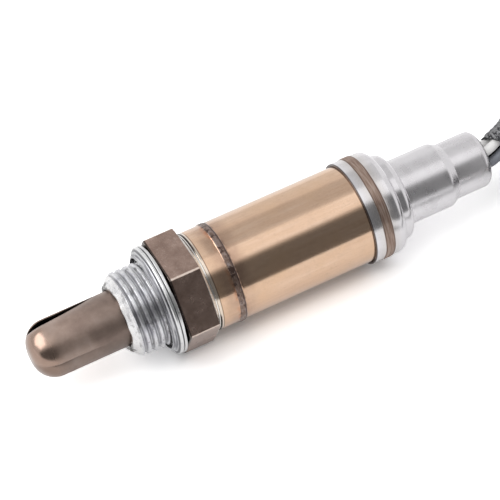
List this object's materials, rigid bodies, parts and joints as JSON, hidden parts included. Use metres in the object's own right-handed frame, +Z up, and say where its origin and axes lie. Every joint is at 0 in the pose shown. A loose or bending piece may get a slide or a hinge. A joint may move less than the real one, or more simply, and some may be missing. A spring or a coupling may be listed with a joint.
{
  "type": "exhaust oxygen sensor",
  "caption": "Heated exhaust oxygen sensor with a louvred protection tube, threaded hexagon shell, captive crush gasket, stepped rear cap and a coiled woven lead with a plug.",
  "frame": {"origin": "on the sensor's axis, at the end of the thread, where the gasket's neck begins", "axes": "+X along the axis from the louvred nose to the lead, +Z up; the hexagon lies flat down, corners at +Y and -Y"},
  "size_m": [0.1823, 0.0754, 0.0232],
  "materials": {
    "protection_tube": "scaled, brown-grey satin steel",
    "shell": "turned steel with a warm tint",
    "gasket": "bright folded steel strip",
    "sealing_ring": "soft metal ring",
    "packing_ring": "pressed mineral powder",
    "sensing_element": "zirconia thimble with a porous coat",
    "heater_rod": "alumina rod",
    "inner_contact": "bright spring steel",
    "outer_contact": "bright spring steel",
    "heater_contacts": "bright spring steel",
    "support_insulator": "steatite",
    "disc_spring": "spring steel",
    "contact_holder": "steatite",
    "outer_sleeve": "heat-tinted bronze-coloured steel sheet",
    "rear_cap": "drawn bright steel sheet",
    "grommet": "dark grey heat-proof rubber",
    "crimp_terminals": "tinned barrel crimps",
    "lead_sleeve": "woven dark grey glass fibre with light flecks",
    "lead_coil": "woven dark grey glass fibre with light flecks",
    "lead_tail": "woven dark grey glass fibre with light flecks",
    "coil_tie": "black nylon",
    "connector_housing": "black nylon",
    "connector_seal": "red-brown silicone",
    "connector_lock": "grey nylon",
    "connector_terminals": "tinned brass",
    "wire_black": "black silicone insulation",
    "wire_white_a": "white silicone insulation",
    "wire_white_b": "white silicone insulation",
    "wire_grey": "grey silicone insulation"
  },
  "bodies": {
    "root": {"protection_tube": "protection_tube", "shell": "shell", "gasket": "gasket", "sealing_ring": "sealing_ring", "packing_ring": "packing_ring", "sensing_element": "sensing_element", "heater_rod": "heater_rod", "inner_contact": "inner_contact", "outer_contact": "outer_contact", "heater_contacts": "heater_contacts", "support_insulator": "support_insulator", "disc_spring": "disc_spring", "contact_holder": "contact_holder", "outer_sleeve": "outer_sleeve", "rear_cap": "rear_cap", "grommet": "grommet", "crimp_terminals": "crimp_terminals", "lead_sleeve": "lead_sleeve", "lead_coil": "lead_coil", "lead_tail": "lead_tail", "coil_tie": "coil_tie", "connector_housing": "connector_housing", "connector_seal": "connector_seal", "connector_lock": "connector_lock", "connector_terminals": "connector_terminals", "wire_black": "wire_black", "wire_white_a": "wire_white_a", "wire_white_b": "wire_white_b", "wire_grey": "wire_grey"}
  },
  "joints": []
}
